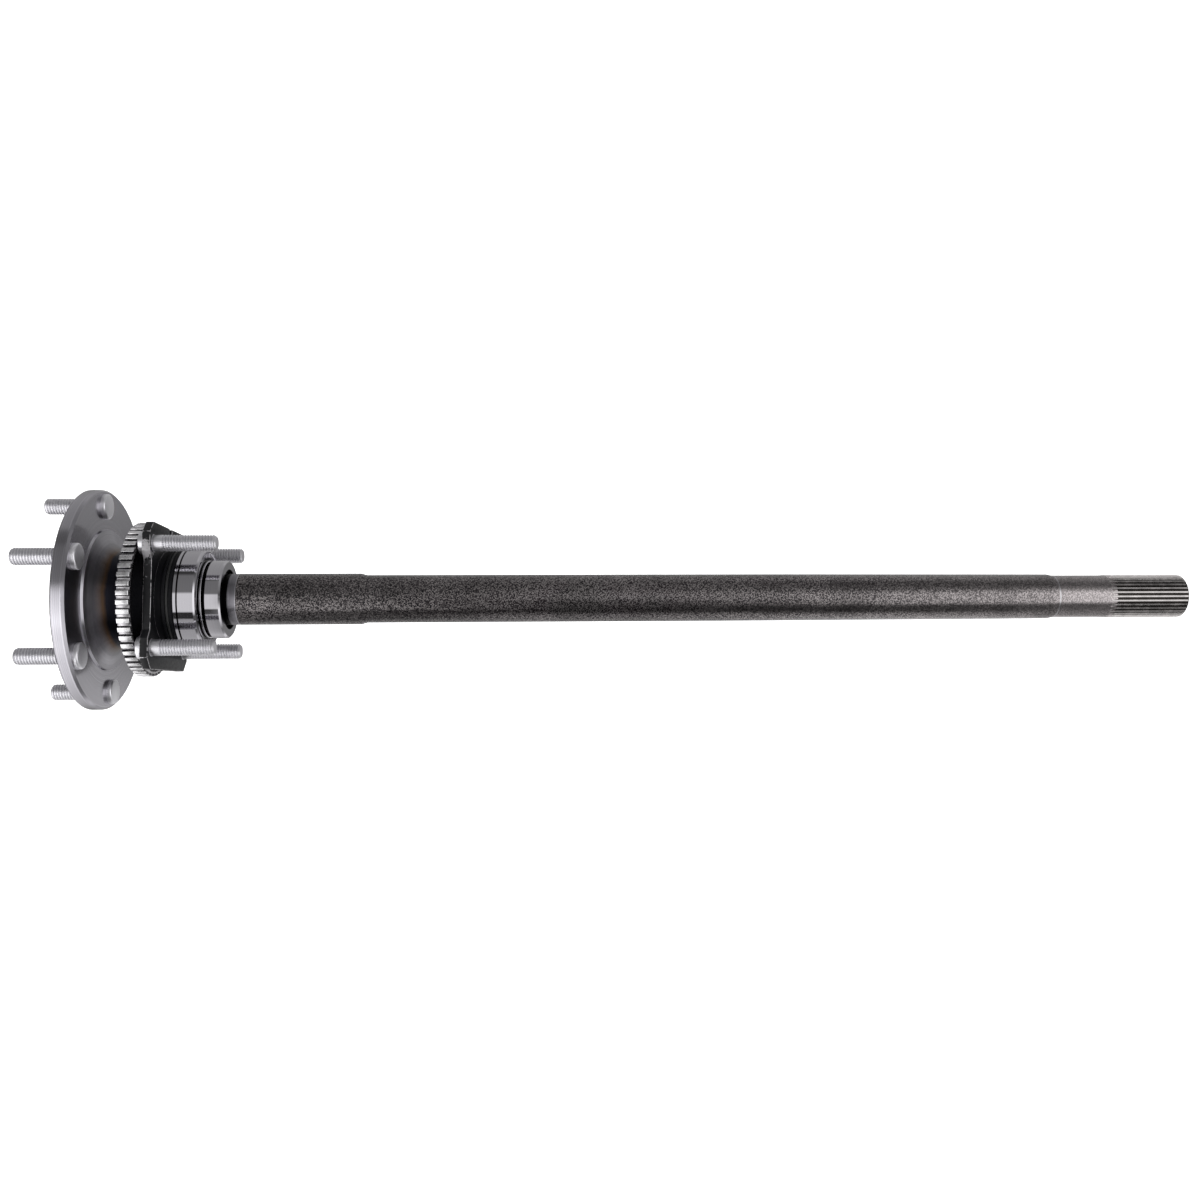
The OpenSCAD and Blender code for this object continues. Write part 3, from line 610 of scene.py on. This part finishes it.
def nitrile_rubber(colours):
    """Moulded nitrile rubber: dull black with a faint bloom."""
    material, tree, place = new_material("Nitrile rubber")
    bloom = add_node(tree, "ShaderNodeTexNoise", {"Vector": place, "Scale": 1 / (4 * MM),
                                                  "Detail": 4.0}).outputs["Fac"]
    shade = add_node(tree, "ShaderNodeMapRange", {"Value": bloom, "From Min": 0.3, "From Max": 0.7,
                                                  "To Min": 0.8, "To Max": 1.5}).outputs["Result"]
    base = add_node(tree, "ShaderNodeVectorMath", {0: colours.rubber[:3], "Scale": shade},
                    operation="SCALE").outputs[0]
    roughness = add_node(tree, "ShaderNodeMapRange", {"Value": bloom, "From Min": 0.3, "From Max": 0.7,
                                                      "To Min": 0.5, "To Max": 0.65}).outputs["Result"]
    shaded(tree, base_color=base, roughness=roughness, ior=1.52)
    return material


def cage_nylon(colours):
    """Glass-filled nylon: tan, with short fibres that mottle it."""
    material, tree, place = new_material("Glass-filled nylon")
    fibres = add_node(tree, "ShaderNodeTexNoise", {"Vector": place, "Scale": 1 / (1.0 * MM), "Detail": 4.0,
                                                   "Distortion": 1.5}).outputs["Fac"]
    shade = add_node(tree, "ShaderNodeMapRange", {"Value": fibres, "From Min": 0.3, "From Max": 0.7,
                                                  "To Min": 0.8, "To Max": 1.1}).outputs["Result"]
    base = add_node(tree, "ShaderNodeVectorMath", {0: colours.nylon[:3], "Scale": shade},
                    operation="SCALE").outputs[0]
    shaded(tree, base_color=base, roughness=0.45, ior=1.53)
    return material


# Operators

class AXLE_OT_wheel_studs(bpy.types.Operator):
    """Six pressed studs in the flange, with their threads"""

    bl_idname = "axle.wheel_studs"
    bl_label = "Wheel studs"

    def execute(self, context):
        sizes, colours = context.scene.axle_sizes, context.scene.axle_colours
        low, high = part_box("wheel_studs")
        radius, head = WHEEL_STUDS["stud_r_mm"] * MM, sizes.wheel_head
        seat_end = FLANGE_BACK * MM
        seat = radius + sizes.seat_step
        ring = -sizes.wheel_collar
        groove = ring - sizes.wheel_relief
        root = radius - sizes.thread_depth
        outline = ([(low[0], 0)] + rounded(low[0], radius, sizes.wheel_tip, 1)
                   + [(groove, radius), (groove, root), (ring, root), (ring, radius), (0, radius), (0, seat),
                      (seat_end, seat), (seat_end, head)]
                   + rounded(high[0], head, sizes.wheel_brim, -1) + [(high[0], 0)])
        stud = turned_solid("wheel_stud", outline)
        threaded(stud, low[0] - sizes.thread_pitch, ring - sizes.wheel_relief / 2, radius, sizes)
        circle = WHEEL_STUDS["pcd_mm"] / 2 * MM
        count = WHEEL_STUDS["count"]
        turns = [math.radians(STUD_CLOCK + 360 * i / count) for i in range(count)]
        material = stud_zinc(colours)
        places = [(-circle * math.cos(t), circle * math.sin(t)) for t in turns]
        for copy in placed_copies(stud, "wheel_stud", places):
            set_in(copy, "axle", "wheel_studs", "stud_steel", material)
        return {"FINISHED"}


class AXLE_OT_retainer_studs(bpy.types.Operator):
    """Four pressed studs in the retainer, with a plain shank and a thread"""

    bl_idname = "axle.retainer_studs"
    bl_label = "Retainer studs"

    def execute(self, context):
        sizes = context.scene.axle_sizes
        low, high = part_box("retainer_studs")
        radius, head = HOUSING_STUDS["stud_r_mm"] * MM, sizes.plate_head
        seat = radius + sizes.seat_step
        plate, plate_end = PLATE_FRONT * MM, PLATE_BACK * MM
        outline = ([(low[0], 0)] + rounded(low[0], head, sizes.plate_brim, 1)
                   + [(plate, head), (plate, seat), (plate_end, seat), (plate_end, radius),
                      (high[0] - sizes.plate_tip, radius), (high[0], radius - sizes.plate_tip), (high[0], 0)])
        stud = turned_solid("retainer_stud", outline)
        threaded(stud, plate_end + sizes.plate_shank, high[0] + sizes.thread_pitch, radius, sizes)
        y, z = HOUSING_STUDS["spacing_x_mm"] / 2 * MM, HOUSING_STUDS["spacing_y_mm"] / 2 * MM
        material = bpy.data.materials["Zinc plate"]
        for copy in placed_copies(stud, "retainer_stud", [(-y, z), (y, z), (y, -z), (-y, -z)]):
            set_in(copy, "retainer", "retainer_studs", "stud_steel", material)
        return {"FINISHED"}


class AXLE_OT_shaft(bpy.types.Operator):
    """The forging: turned flange and seats, forged shaft, rolled spline"""

    bl_idname = "axle.shaft"
    bl_label = "Shaft"

    def execute(self, context):
        colours = context.scene.axle_colours
        shaft = copied_node("axle_shaft", "shaft")
        for face in shaft.data.polygons:
            x = face.center.x
            face.material_index = 0 if x < FORGED_START * MM else 1 if x < SPLINE_START * MM else 2
        smoothed(shaft)
        apply_modifier(shaft, "WEIGHTED_NORMAL", keep_sharp=True)
        set_in(shaft, "axle", "axle_shaft", "forged_steel", turned_steel(colours), forged_scale(colours),
               spline_steel(colours))
        return {"FINISHED"}


class AXLE_OT_speed_ring(bpy.types.Operator):
    """The toothed speed ring with its edges broken"""

    bl_idname = "axle.speed_ring"
    bl_label = "Speed ring"

    def execute(self, context):
        ring = copied_node("tone_ring", "speed_ring")
        apply_modifier(ring, "BEVEL", width=context.scene.axle_sizes.tooth_edge, segments=2,
                       limit_method="ANGLE", angle_limit=math.radians(40))
        smoothed(ring)
        set_in(ring, "axle", "tone_ring", "ring_steel", ring_steel(context.scene.axle_colours))
        return {"FINISHED"}


class AXLE_OT_retainer(bpy.types.Operator):
    """The black retainer plate with rounded edges, the paint rubbed off along them, a painted highlight on its
    edge nearest the camera and painted shade on its bosses
    """

    bl_idname = "axle.retainer"
    bl_label = "Retainer"

    def execute(self, context):
        colours = context.scene.axle_colours
        plate = copied_node("bearing_retainer", "retainer_plate")
        paint = black_paint(colours, "Black chassis paint", 0.0, 0.6)
        rubbed = black_paint(colours, "Rubbed chassis paint", 0.25, 0.6)
        # A copy of the paint that reflects less, as painted shade on the bosses
        dull = black_paint(colours, "Shaded chassis paint", 0.0, 0.3)
        for material in (paint, rubbed, dull):
            plate.data.materials.append(material)
        apply_modifier(plate, "BEVEL", width=context.scene.axle_sizes.plate_edge, segments=3,
                       limit_method="ANGLE", angle_limit=math.radians(40), material=1)
        # Faces off the plate's two faces, on its bosses, take the copy darkened as painted shade
        for face in plate.data.polygons:
            if not (PLATE_FRONT - 0.5) * MM < face.center.x < (PLATE_BACK + 0.05) * MM:
                face.material_index = 2
        smoothed(plate)
        set_in(plate, "retainer", "bearing_retainer", "black_paint")
        return {"FINISHED"}


class AXLE_OT_bearing(bpy.types.Operator):
    """The slinger with rounded edges, and finishes of the bearing, seals and collar, whose CAD shapes stay"""

    bl_idname = "axle.bearing"
    bl_label = "Bearing and seals"

    def execute(self, context):
        sizes, colours = context.scene.axle_sizes, context.scene.axle_colours
        steel, rubber, nylon = ground_steel(colours), nitrile_rubber(colours), cage_nylon(colours)
        slinger = copied_node("slinger_inboard", "slinger")
        apply_modifier(slinger, "BEVEL", width=sizes.slinger_edge, segments=3, limit_method="ANGLE",
                       angle_limit=math.radians(40))
        smoothed(slinger)
        set_in(slinger, "axle", "slinger_inboard", "ground_steel", steel)
        finishes = {
            steel: ("bearing_outer_ring", "bearing_inner_ring", "bearing_balls", "slinger_outboard",
                    "bearing_seal_inboard", "retaining_collar", "seal_spring"),
            rubber: ("oil_seal", "pilot_o_ring", "bearing_seal_outboard"),
            nylon: ("bearing_cage",),
        }
        for material, nodes in finishes.items():
            for node in nodes:
                for slot in frame["nodes"][node].material_slots:
                    slot.link = "OBJECT"
                    slot.material = material
        return {"FINISHED"}


class AXLE_OT_studio(bpy.types.Operator):
    """Seamless white studio, soft light in bands round the shaft, and the camera"""

    bl_idname = "axle.studio"
    bl_label = "Studio"

    def execute(self, context):
        scene, studio = context.scene, context.scene.axle_studio
        self.backdrop(studio)
        self.light(scene)
        camera = bpy.data.objects.new("camera", bpy.data.cameras.new("camera"))
        camera.data.lens = studio.lens
        camera.data.sensor_width = 36.0
        camera.data.clip_end = 100.0
        camera.location = studio.camera_at
        camera.rotation_euler = Euler(studio.camera_turn)
        scene.collection.objects.link(camera)
        scene.camera = camera
        scene.view_settings.view_transform = "Standard"
        return {"FINISHED"}

    def backdrop(self, studio):
        """A round floor of white paper that curves up into a wall, seen by the camera alone."""
        radius, bend = studio.backdrop_radius, studio.backdrop_radius / 3
        curve = [(radius - bend + bend * math.sin(t), bend - bend * math.cos(t))
                 for t in [math.pi / 2 * i / 12 for i in range(13)]]
        line = [(0.001 * radius, 0)] + curve + [(radius, 2 * radius)]
        paper = drawn_line("studio_paper", line)
        with editing(paper):
            bpy.ops.mesh.spin(steps=96, angle=2 * math.pi, center=(0, 0, 0), axis=(0, 0, 1))
        closed(paper)
        middle = (CAD_BOX[0] + CAD_BOX[1]) / 2
        paper.data.transform(Matrix.Translation((middle.x, middle.y, -studio.floor_depth)))
        smoothed(paper)
        material, tree, _ = new_material("White paper")
        shaded(tree, base_color=studio.paper, roughness=0.9, emission_color=studio.paper,
               emission_strength=1.0)
        paper.data.materials.append(material)
        paper.visible_glossy = paper.visible_diffuse = paper.visible_shadow = False

    def light(self, scene):
        """Soft light all round, in bands by the angle about the shaft."""
        world = bpy.data.worlds.new("studio")
        scene.world = world
        world.use_nodes = True
        tree = world.node_tree
        tree.nodes.clear()
        way = add_node(tree, "ShaderNodeTexCoord").outputs["Generated"]
        axes = add_node(tree, "ShaderNodeSeparateXYZ", {0: way}).outputs
        front = add_node(tree, "ShaderNodeMath", {0: axes["Y"], 1: -1.0}, operation="MULTIPLY").outputs[0]
        angle = add_node(tree, "ShaderNodeMath", {0: axes["Z"], 1: front}, operation="ARCTAN2").outputs[0]
        turn = add_node(tree, "ShaderNodeMapRange", {"Value": angle, "From Min": -math.pi,
                                                     "From Max": math.pi}).outputs["Result"]
        ramps = {}
        for bands in dict.fromkeys(bands for _, bands in STUDIO):
            stops = [((degrees + 180) / 360, shade) for degrees, shade in bands]
            ramps[bands] = add_node(tree, "ShaderNodeValToRGB", {"Fac": turn}, stops=stops).outputs["Color"]
        light = ramps[STUDIO[0][1]]
        for (begin, before), (end, after) in zip(STUDIO, STUDIO[1:]):
            if before == after:
                continue
            share = add_node(tree, "ShaderNodeMapRange", {"Value": axes["X"], "From Min": begin,
                                                          "From Max": end}).outputs["Result"]
            light = add_node(tree, "ShaderNodeMix", {"Factor": share, "A": light, "B": ramps[after]},
                             data_type="RGBA").outputs["Result"]
        background = add_node(tree, "ShaderNodeBackground", {"Color": light, "Strength": 1.0})
        add_node(tree, "ShaderNodeOutputWorld", {"Surface": background.outputs["Background"]})


OPERATORS = (AXLE_OT_wheel_studs, AXLE_OT_retainer_studs, AXLE_OT_shaft, AXLE_OT_speed_ring, AXLE_OT_retainer,
             AXLE_OT_bearing, AXLE_OT_studio)


class AXLE_PT_panel(bpy.types.Panel):
    """Lists the steps that dress the axle shaft"""

    bl_idname = "AXLE_PT_panel"
    bl_label = "Axle shaft"
    bl_space_type = "VIEW_3D"
    bl_region_type = "UI"
    bl_category = "Axle shaft"

    def draw(self, context):
        for operator in OPERATORS:
            self.layout.operator(operator.bl_idname)
        for group in (context.scene.axle_sizes, context.scene.axle_colours, context.scene.axle_studio):
            for name in group.__annotations__:
                self.layout.prop(group, name)


CLASSES = (AxleSizes, AxleColours, AxleStudio, *OPERATORS, AXLE_PT_panel)


def register():
    for cls in CLASSES:
        bpy.utils.register_class(cls)
    bpy.types.Scene.axle_sizes = PointerProperty(type=AxleSizes)
    bpy.types.Scene.axle_colours = PointerProperty(type=AxleColours)
    bpy.types.Scene.axle_studio = PointerProperty(type=AxleStudio)


def unregister():
    del bpy.types.Scene.axle_studio
    del bpy.types.Scene.axle_colours
    del bpy.types.Scene.axle_sizes
    for cls in reversed(CLASSES):
        bpy.utils.unregister_class(cls)


def main():
    register()
    bpy.ops.axle.wheel_studs()
    bpy.ops.axle.retainer_studs()
    bpy.ops.axle.shaft()
    bpy.ops.axle.speed_ring()
    bpy.ops.axle.retainer()
    bpy.ops.axle.bearing()
    bpy.ops.axle.studio()


if __name__ == "__main__":
    main()
